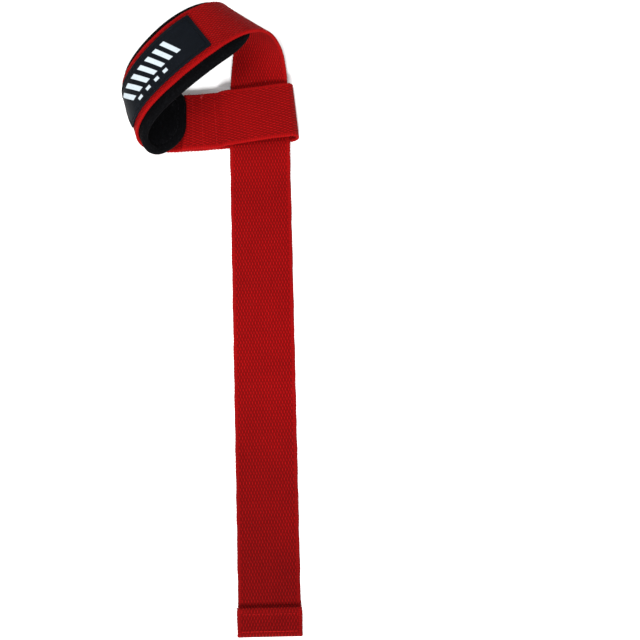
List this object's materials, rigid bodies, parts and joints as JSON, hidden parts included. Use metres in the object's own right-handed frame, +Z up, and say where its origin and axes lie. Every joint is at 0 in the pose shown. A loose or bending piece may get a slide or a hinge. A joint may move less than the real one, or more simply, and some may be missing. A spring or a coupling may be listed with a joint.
{
  "type": "weightlifting strap",
  "caption": "Loop-and-tail lifting strap of cotton webbing with a padded wrist loop, lying open as if just slipped off the hand.",
  "frame": {"origin": "under the middle of the flat tail, on the surface that the strap lies on", "axes": "+Y along the tail from its hem to the wrist loop, +X across the tail towards the folded end loop, +Z up"},
  "size_m": [0.1104, 0.4099, 0.047],
  "materials": {
    "webbing": "heavy red cotton webbing, matt",
    "pad": "black foam pad faced with smooth knit",
    "patch": "soft moulded patch, blue-black, satin"
  },
  "bodies": {
    "root": {"webbing_strap": "webbing", "wrist_pad": "pad", "label_patch": "patch"}
  },
  "joints": []
}
